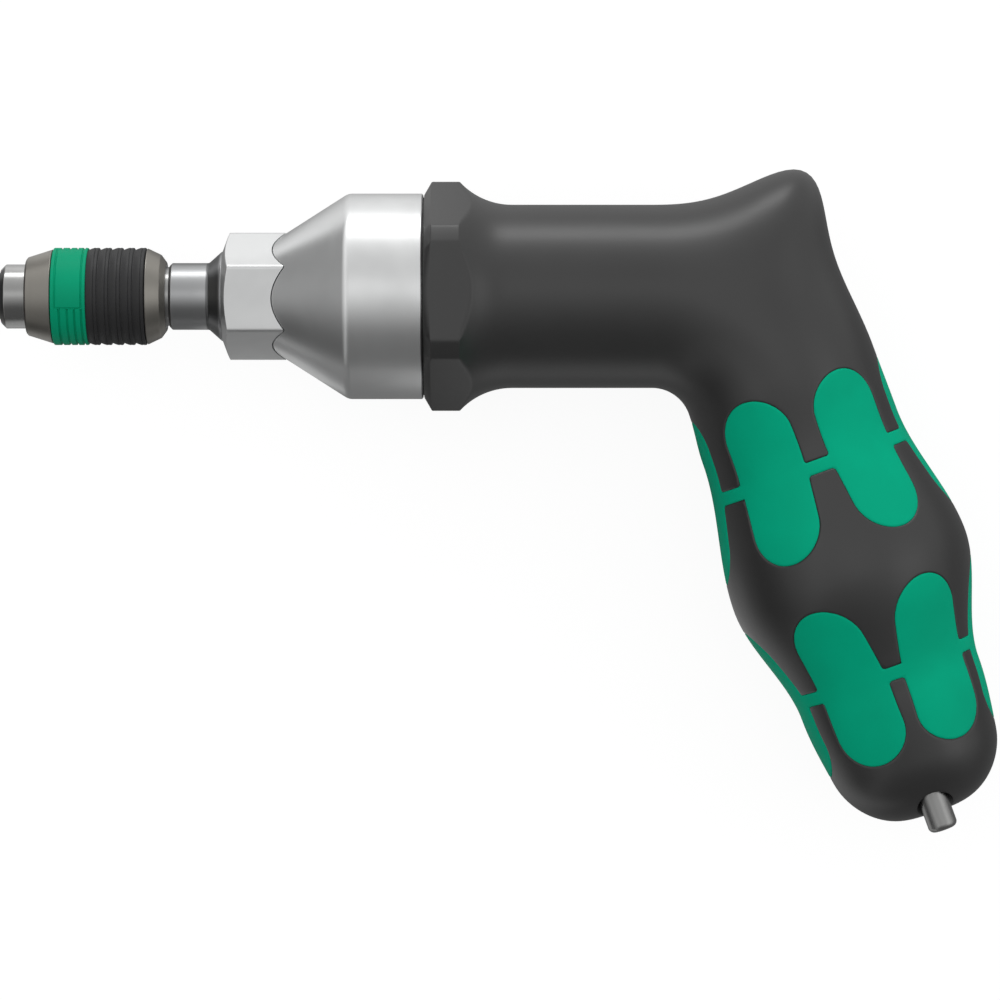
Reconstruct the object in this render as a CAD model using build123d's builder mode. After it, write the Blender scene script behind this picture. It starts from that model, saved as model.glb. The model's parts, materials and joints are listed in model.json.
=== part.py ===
from build123d import *
import os
from math import atan, cos, degrees, pi, radians, sin, tan

os.makedirs("parts", exist_ok=True)

# Torque screwdriver with a pistol handle, lying on its side.
# X runs along the barrel from the mouth of the bit socket, the grip hangs towards -Y, and Z is up.
# Clearances
running_fit = 0.05
end_play = 0.1
soft_seam = 0.12
cut_overshoot = 1.0

# Quick-release chuck
socket_flats = 6.45
socket_depth = 17.0
chuck_radius = 4.9
nose_chamfer = 0.9
nose_reach = 3.5
ball_radius = 1.25
ball_station = 6.5
ball_bite = 0.6
sleeve_travel = 2.5
stop_ring_gap = 0.6
stop_ring_width = 0.6
stop_ring_depth = 0.5
stop_ring_reach = 0.7
stem_radius = 3.6
stem_length = 5.0
key_passage_radius = 1.7
undercut_width = 0.5
undercut_depth = 0.4

# Sleeve of the chuck
sleeve_radius = 7.43
tube_radius = 6.2
chamber_radius = 5.8
front_face_radius = 5.2
front_edge_rounding = 0.7
front_flange_radius = 7.2
front_flange_length = 4.6
band_length = 5.4
ribs_length = 9.0
rear_ring_length = 2.9
rear_ring_radius = 7.3
rear_face_radius = 5.25
rear_edge_radius = 6.35
rear_edge_length = 0.8
rear_lip = 1.5
rear_land = 7.0
carrier_wall = 0.5
rib_depth = 0.3
rib_count = 5
rib_rise_share = 0.5
rib_flat_share = 0.35
band_rim = 0.45
band_recess = 0.12
sleeve_spring_wire = 0.5
sleeve_spring_turns = 5
sleeve_gap = 0.5

# Drive shaft and metal head
neck_radius = 5.1
neck_length = 6.2
neck_chamfer = 0.4
flare_radius = 6.9
flare_length = 1.9
shaft_radius = 4.5
shaft_tail = 3.6
hexagon_flats = 17.0
hexagon_length = 7.9
hexagon_turn = 5.0
hexagon_chamfer = 1.1
cone_angle = 32.5
head_radius = 15.7
head_rim_length = 11.2
shoulder_rounding = 2.2
rim_chamfer = 0.35
head_wall = 2.3
floor_share = 0.33
head_gap = 0.4

# Clutch
detent_count = 12
ball_count = 6
clutch_ball_radius = 2.0
clutch_pitch_radius = 9.0
detent_depth = 0.7
cam_ring_length = 4.0
seat_depth = 0.9
plate_length = 3.5
housing_bore = 11.45
housing_wall = 1.05
housing_entry = 2.0
bush_length = 3.8
ring_thickness = 1.0
ring_bite = 0.45
ring_groove = 0.5
dust_ring_length = 1.0
main_spring_length = 17.6
main_spring_wire = 2.2
main_spring_radius = 8.6
main_spring_turns = 5.5
guide_pin_radius = 0.6
guide_pin_count = 3

# Torque adjustment
nut_length = 5.0
nut_travel = 2.5
screw_radius = 4.0
screw_gap = 1.0
key_flats = 2.5
key_socket_depth = 4.0
flange_radius = 6.5
flange_length = 2.0
pilot_radius = 3.0
washer_length = 0.6
washer_radius = 8.0
end_cap_length = 3.0

# Handle: hexagonal collar, barrel and horn
collar_flats = 31.7
collar_corner_radius = 17.5
collar_face_radius = 15.5
collar_chamfer = 1.15
collar_length = 5.4
collar_blend_length = 8.0
collar_blend_drop = 0.55
barrel_radius = 14.0
corner_reach = 34.8
barrel_lead = 6.0
corner_radius = 6.0
grip_tilt = 20.0
horn_angle = 31.0
horn_height = 10.7
horn_width = 12.2

# Handle: grip, measured down its own axis from the inner corner, on the palm's and the fingers' side
grip_top_radius = 15.0
upper_waist_at = 10.0
upper_waist_radius = 15.1
finger_waist_at = 8.0
finger_waist_radius = 15.6
bulge_at = 31.0
bulge_radius = 18.6
finger_bulge_radius = 18.85
lower_waist_at = 50.0
lower_waist_radius = 13.9
finger_lower_radius = 14.75
grip_length = 69.9
butt_radius = 11.9
finger_butt_radius = 12.6
butt_rounding = 9.0
depth_share = 0.95

# Soft zones
zone_depth = 1.3
zone_width = 11.0
zone_length = 25.2
upper_zone_at = 14.0
lower_zone_at = 47.1
zone_count = 6
bar_width = 2.0

# Setting key, parked in the butt
key_head_radius = 2.25
key_head_length = 12.0
key_blade_length = 66.0
key_showing = 2.45
key_offset = 6.7
key_inset = 0.5
key_rounding = 0.9
key_clearance = 0.1
key_mouth_radius = 2.85
key_mouth_depth = 5.2
grommet_wall = 0.9
grommet_length = 3.0

# Stations along the barrel that follow from the lengths above
sleeve_front = nose_reach
band_front = sleeve_front + front_flange_length
ribs_front = band_front + band_length
rear_ring_front = ribs_front + ribs_length
sleeve_rear = rear_ring_front + rear_ring_length
neck_front = sleeve_rear + sleeve_gap
flare_front = neck_front + neck_length
hexagon_front = flare_front + flare_length
cone_front = hexagon_front + hexagon_length
cone_slope = tan(radians(cone_angle))
shoulder = cone_front + (head_radius - hexagon_flats / 2) / cone_slope
head_rear = shoulder + head_rim_length
cup_radius = head_radius - head_wall
housing_radius = housing_bore + housing_wall
cup_floor = shoulder - head_wall * floor_share
cam_face = cup_floor + cam_ring_length
clutch_ball_station = cam_face + clutch_ball_radius - detent_depth
plate_front = clutch_ball_station + clutch_ball_radius - seat_depth
plate_rear = plate_front + plate_length
spring_rear = plate_rear + main_spring_length
nut_rear = spring_rear + nut_length
housing_front = cam_face + housing_entry
handle_front = head_rear + head_gap
screw_flange_front = nut_rear + nut_travel + nut_length
washer_front = screw_flange_front + flange_length
end_cap_front = washer_front + washer_length
housing_rear = end_cap_front + end_cap_length
retaining_station = housing_front + bush_length + end_play
collar_rear = handle_front + collar_length
barrel_front = collar_rear + collar_blend_length
corner_x = handle_front + corner_reach
corner_y = -(barrel_radius + corner_radius)
horn_front = corner_x - barrel_lead
shaft_rear = plate_rear + shaft_tail
screw_front = shaft_rear + screw_gap

# Cam inside the release sleeve: the ball moves out as the sleeve slides forward
ball_lift = ball_bite + running_fit / 2
cam_slope = ball_lift / sleeve_travel
cam_angle = degrees(atan(cam_slope))
ball_height = socket_flats / 2 - ball_bite + ball_radius
sleeve_bore = chuck_radius + running_fit
cam_over_ball = ball_height + (ball_radius + running_fit) / cos(radians(cam_angle))
cam_start = ball_station - (cam_over_ball - sleeve_bore) / cam_slope
cam_end = cam_start + (chamber_radius - sleeve_bore) / cam_slope
stop_ring_front = cam_end + stop_ring_gap
stop_ring_rear = stop_ring_front + stop_ring_width
tube_rear = sleeve_rear - rear_lip
land_front = tube_rear - rear_land


def ring(start, length, inner, outer, mode=Mode.ADD):
    """Add or cut a plain ring round the barrel's axis."""
    with BuildSketch(Plane.YZ.offset(start)) as section:
        Circle(outer)
        if inner > 0:
            Circle(inner, mode=Mode.SUBTRACT)
    extrude(section.sketch, amount=length, mode=mode)


def hexagon(start, length, flats, turn=0.0, mode=Mode.ADD):
    """Add or cut a hexagonal prism round the barrel's axis, with a flat across Z when turn is 0."""
    with BuildSketch(Plane.YZ.offset(start)) as section:
        RegularPolygon(flats / 2, 6, major_radius=False, rotation=turn)
    extrude(section.sketch, amount=length, mode=mode)


def coil(start, length, radius, wire, turns):
    """Add an open coil spring that just touches the planes at its two ends."""
    free = length - wire
    with BuildLine() as path:
        Helix(free / turns, free, radius, center=(start + wire / 2, 0, 0), direction=(1, 0, 0))
    begin = path.line @ 0
    with BuildSketch(Plane(origin=begin, z_dir=path.line % 0)) as section:
        Circle(wire / 2)
    sweep(section.sketch, path=path.line)


# Chuck body: hexagonal bit socket, ball hole, stop ring groove and a stem pressed into the shaft
with BuildPart() as chuck_body:
    ring(0, neck_front, key_passage_radius, chuck_radius)
    front_edges = chuck_body.edges().filter_by(GeomType.CIRCLE).group_by(Axis.X)[0]
    chamfer(front_edges.sort_by(SortBy.RADIUS)[-1], nose_chamfer)
    hexagon(0, socket_depth, socket_flats, turn=30, mode=Mode.SUBTRACT)
    ring(neck_front - undercut_width, undercut_width, chuck_radius - undercut_depth, chuck_radius + cut_overshoot,
         mode=Mode.SUBTRACT)
    ring(stop_ring_front, stop_ring_width, chuck_radius - stop_ring_depth, chuck_radius + cut_overshoot, mode=Mode.SUBTRACT)
    ring(neck_front, stem_length, key_passage_radius, stem_radius)
    with BuildSketch(Plane.XZ) as ball_hole:
        with Locations((ball_station, 0)):
            Circle(ball_radius + running_fit)
    extrude(ball_hole.sketch, amount=-(chuck_radius + cut_overshoot), mode=Mode.SUBTRACT)
chuck_body.part.label = "chuck_body"
export_step(chuck_body.part, "parts/chuck_body.step")

# Lock ball that holds the bit
with BuildPart() as lock_ball:
    with Locations((ball_station, ball_height, 0)):
        Sphere(ball_radius)
lock_ball.part.label = "lock_ball"
export_step(lock_ball.part, "parts/lock_ball.step")

# Stop ring that the sleeve spring pushes on
with BuildPart() as stop_ring:
    ring(stop_ring_front, stop_ring_width, chuck_radius - stop_ring_depth, chuck_radius + stop_ring_reach)
stop_ring.part.label = "stop_ring"
export_step(stop_ring.part, "parts/stop_ring.step")

# Release sleeve: tapered front flange, cam over the ball, spring chamber and rear guide land
with BuildPart() as release_sleeve:
    with BuildSketch(Plane.XY):
        with BuildLine():
            Polyline(
                (sleeve_front, sleeve_bore),
                (sleeve_front, front_face_radius),
                (sleeve_front + front_edge_rounding, front_face_radius + front_edge_rounding),
                (band_front, front_flange_radius),
                (band_front, tube_radius),
                (tube_rear, tube_radius),
                (tube_rear, sleeve_bore),
                (land_front, sleeve_bore),
                (land_front, chamber_radius),
                (cam_end, chamber_radius),
                (cam_start, sleeve_bore),
                close=True,
            )
        make_face()
    revolve(axis=Axis.X)
release_sleeve.part.label = "release_sleeve"
export_step(release_sleeve.part, "parts/release_sleeve.step")

# Rear ring pressed on the release sleeve
with BuildPart() as rear_ring:
    with BuildSketch(Plane.XY):
        with BuildLine():
            Polyline(
                (rear_ring_front, tube_radius),
                (rear_ring_front, rear_ring_radius),
                (rear_ring_front + end_play, rear_ring_radius),
                (sleeve_rear - rear_edge_length, rear_edge_radius),
                (sleeve_rear, rear_face_radius),
                (sleeve_rear, sleeve_bore),
                (tube_rear, sleeve_bore),
                (tube_rear, tube_radius),
                close=True,
            )
        make_face()
    revolve(axis=Axis.X)
rear_ring.part.label = "rear_ring"
export_step(rear_ring.part, "parts/rear_ring.step")

# Return spring of the release sleeve
with BuildPart() as sleeve_spring:
    spring_room = (chuck_radius + chamber_radius) / 2
    coil(stop_ring_rear, land_front - stop_ring_rear, spring_room, sleeve_spring_wire, sleeve_spring_turns)
sleeve_spring.part.label = "sleeve_spring"
export_step(sleeve_spring.part, "parts/sleeve_spring.step")

# Free-spinning sleeve: hard carrier, green band and ribbed rubber
carrier_bore = tube_radius + running_fit
carrier_radius = carrier_bore + carrier_wall
spin_front = band_front + end_play
spin_rear = rear_ring_front - end_play
with BuildPart() as sleeve_carrier:
    ring(spin_front, spin_rear - spin_front, carrier_bore, carrier_radius)
sleeve_carrier.part.label = "sleeve_carrier"
export_step(sleeve_carrier.part, "parts/sleeve_carrier.step")

with BuildPart() as sleeve_band:
    ring(spin_front, ribs_front - spin_front, carrier_radius, sleeve_radius)
    ring(spin_front + band_rim, ribs_front - spin_front - 2 * band_rim, sleeve_radius - band_recess,
         sleeve_radius + cut_overshoot, mode=Mode.SUBTRACT)
sleeve_band.part.label = "sleeve_band"
export_step(sleeve_band.part, "parts/sleeve_band.step")

rib_pitch = (spin_rear - ribs_front) / rib_count
with BuildPart() as sleeve_ribs:
    with BuildSketch(Plane.XY):
        with BuildLine():
            teeth = [(ribs_front, sleeve_radius - rib_depth)]
            for rib in range(rib_count):
                rib_front = ribs_front + rib * rib_pitch
                teeth.append((rib_front + rib_pitch * rib_rise_share, sleeve_radius))
                teeth.append((rib_front + rib_pitch * (rib_rise_share + rib_flat_share), sleeve_radius))
                teeth.append((rib_front + rib_pitch, sleeve_radius - rib_depth))
            Polyline((ribs_front, carrier_radius), *teeth, (spin_rear, carrier_radius), close=True)
        make_face()
    revolve(axis=Axis.X)
sleeve_ribs.part.label = "sleeve_ribs"
export_step(sleeve_ribs.part, "parts/sleeve_ribs.step")

# Drive shaft: neck, flare and the journal that carries the head and the clutch
with BuildPart() as drive_shaft:
    with BuildSketch(Plane.XY):
        with BuildLine():
            Polyline(
                (neck_front, stem_radius),
                (neck_front, neck_radius - neck_chamfer),
                (neck_front + neck_chamfer, neck_radius),
                (flare_front, neck_radius),
                (hexagon_front, flare_radius),
                (hexagon_front, shaft_radius),
                (shaft_rear, shaft_radius),
                (shaft_rear, key_passage_radius),
                (neck_front + stem_length, key_passage_radius),
                (neck_front + stem_length, stem_radius),
                close=True,
            )
        make_face()
    revolve(axis=Axis.X)
drive_shaft.part.label = "drive_shaft"
export_step(drive_shaft.part, "parts/drive_shaft.step")

# Metal head: spanner hexagon that runs into a cone, and a cup that turns on the clutch housing
hexagon_corner = hexagon_flats / 2 / cos(radians(30))
inner_cone_radius = hexagon_flats / 2 - hexagon_chamfer
with BuildPart() as clutch_head:
    hexagon(hexagon_front, cup_floor - hexagon_front, hexagon_flats, turn=hexagon_turn)
    with BuildSketch(Plane.XY):
        with BuildLine():
            Polyline(
                (hexagon_front, 0),
                (hexagon_front, flare_radius),
                (hexagon_front + hexagon_chamfer, hexagon_corner),
                (cup_floor, hexagon_corner),
                (cup_floor, 0),
                close=True,
            )
        make_face()
    revolve(axis=Axis.X, mode=Mode.INTERSECT)
    with BuildSketch(Plane.XY):
        with BuildLine():
            Polyline(
                (cone_front - hexagon_chamfer / cone_slope, 0),
                (cone_front - hexagon_chamfer / cone_slope, inner_cone_radius),
                (shoulder, head_radius),
                (head_rear, head_radius),
                (head_rear, 0),
                close=True,
            )
        make_face()
    revolve(axis=Axis.X)
    rims = clutch_head.edges().filter_by(GeomType.CIRCLE).filter_by(lambda e: abs(e.radius - head_radius) < 1e-3)
    fillet(rims.sort_by(Axis.X)[0], shoulder_rounding)
    rims = clutch_head.edges().filter_by(GeomType.CIRCLE).filter_by(lambda e: abs(e.radius - head_radius) < 1e-3)
    chamfer(rims.sort_by(Axis.X)[-1], rim_chamfer)
    ring(hexagon_front, cup_floor - hexagon_front, 0, shaft_radius, mode=Mode.SUBTRACT)
    ring(cup_floor, head_rear - cup_floor, 0, cup_radius, mode=Mode.SUBTRACT)
    ring(retaining_station, ring_thickness, cup_radius - cut_overshoot, cup_radius + ring_groove, mode=Mode.SUBTRACT)
clutch_head.part.label = "clutch_head"
export_step(clutch_head.part, "parts/clutch_head.step")


def ball_centres(count):
    """Centres of a row of balls or of their detents, spread evenly round the barrel's axis."""
    steps = [2 * pi * number / count for number in range(count)]
    return [(clutch_ball_station, clutch_pitch_radius * cos(step), clutch_pitch_radius * sin(step)) for step in steps]


# Cam ring with the row of detents, fixed in the head
with BuildPart() as cam_ring:
    ring(cup_floor, cam_ring_length, shaft_radius, cup_radius)
    with Locations(*ball_centres(detent_count)):
        Sphere(clutch_ball_radius + running_fit, rotation=(0, 90, 0), mode=Mode.SUBTRACT)
cam_ring.part.label = "cam_ring"
export_step(cam_ring.part, "parts/cam_ring.step")

# Clutch balls and the pressure plate that carries them
with BuildPart() as clutch_balls:
    with Locations(*ball_centres(ball_count)):
        Sphere(clutch_ball_radius, rotation=(0, 90, 0))
clutch_balls.part.label = "clutch_balls"
export_step(clutch_balls.part, "parts/clutch_balls.step")


def guide_pin_row(start, length, extra):
    """Row of guide pins between the housing and what slides in it, grown by extra all round."""
    with BuildSketch(Plane.YZ.offset(start)) as pins:
        with PolarLocations(housing_bore, guide_pin_count, start_angle=30):
            Circle(guide_pin_radius + extra)
    return extrude(pins.sketch, amount=length, mode=Mode.PRIVATE)


plate_radius = housing_bore - running_fit
with BuildPart() as pressure_plate:
    ring(plate_front, plate_length, shaft_radius + running_fit, plate_radius)
    with Locations(*ball_centres(ball_count)):
        Sphere(clutch_ball_radius, rotation=(0, 90, 0), mode=Mode.SUBTRACT)
    add(guide_pin_row(plate_front, plate_length, running_fit), mode=Mode.SUBTRACT)
pressure_plate.part.label = "pressure_plate"
export_step(pressure_plate.part, "parts/pressure_plate.step")

# Main spring that sets the torque
with BuildPart() as clutch_spring:
    coil(plate_rear, main_spring_length, main_spring_radius, main_spring_wire, main_spring_turns)
clutch_spring.part.label = "clutch_spring"
export_step(clutch_spring.part, "parts/clutch_spring.step")

# Adjusting nut, screw, thrust washer and end cap
with BuildPart() as adjusting_nut:
    ring(spring_rear, nut_length, screw_radius + running_fit, plate_radius)
    add(guide_pin_row(spring_rear, nut_length, running_fit), mode=Mode.SUBTRACT)
adjusting_nut.part.label = "adjusting_nut"
export_step(adjusting_nut.part, "parts/adjusting_nut.step")

with BuildPart() as adjusting_screw:
    ring(screw_front, screw_flange_front - screw_front, 0, screw_radius)
    ring(screw_flange_front, flange_length, 0, flange_radius)
    ring(washer_front, washer_length + end_cap_length, 0, pilot_radius)
    hexagon(screw_front, key_socket_depth, key_flats + 2 * running_fit, mode=Mode.SUBTRACT)
adjusting_screw.part.label = "adjusting_screw"
export_step(adjusting_screw.part, "parts/adjusting_screw.step")

with BuildPart() as thrust_washer:
    ring(washer_front, washer_length, pilot_radius + running_fit, washer_radius)
thrust_washer.part.label = "thrust_washer"
export_step(thrust_washer.part, "parts/thrust_washer.step")

with BuildPart() as end_cap:
    ring(end_cap_front, end_cap_length, pilot_radius + running_fit, housing_bore)
end_cap.part.label = "end_cap"
export_step(end_cap.part, "parts/end_cap.step")

# Clutch housing: a steel tube pressed into the handle, with guide pins along its bore
pins_length = spring_rear + nut_length + nut_travel - plate_front
with BuildPart() as clutch_housing:
    ring(housing_front, housing_rear - housing_front, housing_bore, housing_radius)
    ring(retaining_station - end_play, ring_thickness + 2 * end_play, housing_radius - ring_groove,
         housing_radius + cut_overshoot, mode=Mode.SUBTRACT)
    add(guide_pin_row(plate_front, pins_length, 0), mode=Mode.SUBTRACT)
clutch_housing.part.label = "clutch_housing"
export_step(clutch_housing.part, "parts/clutch_housing.step")

with BuildPart() as guide_pins:
    add(guide_pin_row(plate_front, pins_length, 0))
guide_pins.part.label = "guide_pins"
export_step(guide_pins.part, "parts/guide_pins.step")

# Bush and retaining ring that let the head turn on the housing
with BuildPart() as head_bush:
    ring(housing_front, bush_length, housing_radius + running_fit, cup_radius)
head_bush.part.label = "head_bush"
export_step(head_bush.part, "parts/head_bush.step")

with BuildPart() as retaining_ring:
    ring(retaining_station, ring_thickness, housing_radius - ring_bite, cup_radius + ring_groove)
retaining_ring.part.label = "retaining_ring"
export_step(retaining_ring.part, "parts/retaining_ring.step")

# Dust ring that fills the gap between the head and the handle
with BuildPart() as dust_ring:
    ring(handle_front - dust_ring_length, dust_ring_length, housing_radius, cup_radius - running_fit)
dust_ring.part.label = "dust_ring"
export_step(dust_ring.part, "parts/dust_ring.step")


def smooth(start, end, share):
    """Ease from start to end with level tangents at both."""
    share = min(max(share, 0.0), 1.0)
    return start + (end - start) * share * share * (3 - 2 * share)


palm_side = [(0.0, grip_top_radius), (upper_waist_at, upper_waist_radius), (bulge_at, bulge_radius),
             (lower_waist_at, lower_waist_radius), (grip_length, butt_radius)]
finger_side = [(0.0, grip_top_radius), (finger_waist_at, finger_waist_radius), (bulge_at, finger_bulge_radius),
               (lower_waist_at, finger_lower_radius), (grip_length, finger_butt_radius)]


def grip_radius(down, side):
    """Grip's radius towards one side at a distance down its axis."""
    for (near, near_radius), (far, far_radius) in zip(side, side[1:]):
        if down < far:
            return smooth(near_radius, far_radius, (down - near) / (far - near))
    return far_radius


turn_angle = 90 - grip_tilt


def horn_rise(angle):
    """Height of the horn over the round barrel at an angle round the inner corner."""
    span = horn_angle if angle < horn_angle else turn_angle - horn_angle
    offset = (angle - horn_angle) / span
    return horn_height * (1 - offset * offset) ** 2 / (1 + ((angle - horn_angle) / horn_width) ** 2)


def section_plane(angle, along):
    """Cross-section plane through the inner corner, turned round it and slid along the handle."""
    turned = radians(angle)
    outward = Vector(sin(turned), cos(turned), 0)
    ahead = Vector(cos(turned), -sin(turned), 0)
    return Plane(origin=Vector(corner_x, corner_y, 0) + ahead * along, x_dir=outward, z_dir=ahead)


def handle_section(plane, centre, inner, outer, half_depth):
    """Egg-shaped section: half an ellipse towards the inner corner and half an ellipse away from it."""
    with BuildSketch(plane) as section:
        with BuildLine():
            EllipticalCenterArc((centre, 0), inner, half_depth, start_angle=90, arc_size=180)
            EllipticalCenterArc((centre, 0), outer, half_depth, start_angle=-90, arc_size=180)
        make_face()
    return section.sketch


grip_centre = corner_radius + grip_top_radius
fan_steps = 20
grip_steps = 18
butt_steps = 6
barrel_steps = 4


def grip_section(down, inset):
    """Section across the straight grip, drawn in by inset."""
    palm, fingers = grip_radius(down, palm_side), grip_radius(down, finger_side)
    depth = palm * smooth(1, depth_share, down / upper_waist_at)
    return handle_section(section_plane(turn_angle, down), grip_centre, fingers - inset, palm - inset,
                          depth - inset)


def grip_sections(inset):
    """Sections down the straight grip, to where the butt's rounding starts."""
    straight = grip_length - butt_rounding
    return [grip_section(straight * step / grip_steps, inset) for step in range(grip_steps + 1)]


def butt_sections():
    """Sections over the rounded butt, closing in along a quarter circle."""
    sections = []
    for step in range(1, butt_steps + 1):
        turned = radians(90 * step / butt_steps)
        down = grip_length - butt_rounding * (1 - sin(turned))
        sections.append(grip_section(down, butt_rounding * (1 - cos(turned))))
    return sections


def turn_sections():
    """Sections along the barrel and round the inner corner, over the horn."""
    sections = []
    for step in range(barrel_steps):
        along = -barrel_lead * (1 - step / barrel_steps)
        sections.append(handle_section(section_plane(0, along), corner_radius + barrel_radius,
                                       barrel_radius, barrel_radius, barrel_radius))
    for step in range(fan_steps):
        angle = turn_angle * step / fan_steps
        radius = smooth(barrel_radius, grip_top_radius, step / fan_steps)
        sections.append(handle_section(section_plane(angle, 0), corner_radius + radius, radius,
                                       radius + horn_rise(angle), radius))
    return sections


# Outer form of the barrel, horn and grip, and the core that the soft zones sit on
with BuildPart() as handle_form:
    loft(sections=turn_sections() + grip_sections(0.0) + butt_sections())

with BuildPart() as grip_core:
    loft(sections=grip_sections(zone_depth))


def soft_zone(level, extra):
    """Ring of long ovals joined by a bar, standing out from the grip's axis, grown by extra all round."""
    outward = section_plane(turn_angle, level).x_dir
    ahead = section_plane(turn_angle, level).z_dir
    middle = Vector(corner_x, corner_y, 0) + outward * grip_centre + ahead * level
    for number in range(zone_count):
        turned = radians(360 * number / zone_count)
        facing = Vector(0, 0, 1) * sin(turned) + outward * cos(turned)
        with BuildSketch(Plane(origin=middle, x_dir=ahead, z_dir=facing)) as oval:
            SlotOverall(zone_length + 2 * extra, zone_width + 2 * extra)
        extrude(oval.sketch, amount=2 * bulge_radius)
    with BuildSketch(Plane(origin=middle - ahead * (bar_width / 2 + extra), x_dir=outward, z_dir=ahead)) as bar:
        Circle(2 * bulge_radius)
    extrude(bar.sketch, amount=bar_width + 2 * extra)


with BuildPart() as upper_soft_zone:
    soft_zone(upper_zone_at, 0.0)
    add(handle_form.part, mode=Mode.INTERSECT)
    add(grip_core.part, mode=Mode.SUBTRACT)
upper_soft_zone.part.label = "upper_soft_zone"
export_step(upper_soft_zone.part, "parts/upper_soft_zone.step")

with BuildPart() as lower_soft_zone:
    soft_zone(lower_zone_at, 0.0)
    add(handle_form.part, mode=Mode.INTERSECT)
    add(grip_core.part, mode=Mode.SUBTRACT)
lower_soft_zone.part.label = "lower_soft_zone"
export_step(lower_soft_zone.part, "parts/lower_soft_zone.step")

with BuildPart() as upper_pocket:
    soft_zone(upper_zone_at, soft_seam)
    add(grip_core.part, mode=Mode.SUBTRACT)

with BuildPart() as lower_pocket:
    soft_zone(lower_zone_at, soft_seam)
    add(grip_core.part, mode=Mode.SUBTRACT)

# Setting key: a hexagonal blade with a round head, kept by a rubber grommet in the butt
key_end = grip_length + key_showing
key_shoulder = key_end - key_head_length
key_tip = key_shoulder - key_blade_length
key_plane = section_plane(turn_angle, 0)
key_foot = key_plane.origin + key_plane.x_dir * (grip_centre - key_inset) + Vector(0, 0, 1) * key_offset


def key_level(down):
    """Plane across the key's axis at a distance down the grip."""
    return Plane(origin=key_foot + key_plane.z_dir * down, x_dir=key_plane.x_dir, z_dir=key_plane.z_dir)


with BuildPart() as setting_key:
    with BuildSketch(key_level(key_shoulder)) as key_head:
        Circle(key_head_radius)
    extrude(key_head.sketch, amount=key_head_length)
    fillet(setting_key.edges().filter_by(
        lambda e: abs(key_level(key_end).to_local_coords(e.center()).Z) < 1e-3), key_rounding)
    with BuildSketch(key_level(key_tip)) as key_blade:
        RegularPolygon(key_flats / 2, 6, major_radius=False)
    extrude(key_blade.sketch, amount=key_blade_length)
setting_key.part.label = "setting_key"
export_step(setting_key.part, "parts/setting_key.step")

grommet_rear = grip_length - key_mouth_depth
grommet_front = grommet_rear - grommet_length
key_bore = key_head_radius + key_clearance
with BuildPart() as key_grommet:
    with BuildSketch(key_level(grommet_front)) as grommet_section:
        Circle(key_bore + grommet_wall)
        Circle(key_bore - key_clearance / 2, mode=Mode.SUBTRACT)
    extrude(grommet_section.sketch, amount=grommet_length)
key_grommet.part.label = "key_grommet"
export_step(key_grommet.part, "parts/key_grommet.step")

# Grip shell: hexagonal collar, barrel, horn and grip in one moulding
with BuildPart() as grip_shell:
    with BuildSketch(Plane.XY):
        with BuildLine():
            blend_start = (collar_rear + collar_blend_drop, collar_corner_radius - collar_blend_drop)
            Polyline(
                (horn_front, 0),
                (handle_front, 0),
                (handle_front, collar_face_radius),
                (handle_front + collar_chamfer, collar_corner_radius),
                (collar_rear, collar_corner_radius),
                blend_start,
            )
            TangentArc((barrel_front, barrel_radius), blend_start, tangent=(-1, 0))
            Polyline((barrel_front, barrel_radius), (horn_front, barrel_radius), (horn_front, 0))
        make_face()
    revolve(axis=Axis.X)
    hexagon(handle_front, horn_front - handle_front, collar_flats, mode=Mode.INTERSECT)
    add(handle_form.part)
    ring(handle_front, housing_rear - handle_front, 0, housing_radius, mode=Mode.SUBTRACT)
    add(upper_pocket.part, mode=Mode.SUBTRACT)
    add(lower_pocket.part, mode=Mode.SUBTRACT)
    with BuildSketch(key_level(key_tip - key_rounding)) as key_hole:
        Circle(key_bore)
    extrude(key_hole.sketch, amount=2 * grip_length, mode=Mode.SUBTRACT)
    with BuildSketch(key_level(grommet_front)) as grommet_seat:
        Circle(key_bore + grommet_wall)
    extrude(grommet_seat.sketch, amount=grommet_length, mode=Mode.SUBTRACT)
    with BuildSketch(key_level(grommet_rear)) as key_mouth:
        Circle(key_mouth_radius)
    extrude(key_mouth.sketch, amount=grip_length, mode=Mode.SUBTRACT)
grip_shell.part.label = "grip_shell"
export_step(grip_shell.part, "parts/grip_shell.step")
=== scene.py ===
# %% [markdown]
# # A torque screwdriver with a pistol handle
#
# This lesson dresses a finished CAD model so that it looks like a product photograph.
# The CAD model is a fixed frame: its pieces are never moved or changed.
# Where a piece needs finer edges or detail, a new mesh is built over it and stands for it.
# Every length is written in millimetres, and `MM` turns it into metres.

# %% Load the frame
import json
from math import cos, hypot, pi, radians, sin, sqrt, tan

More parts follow.
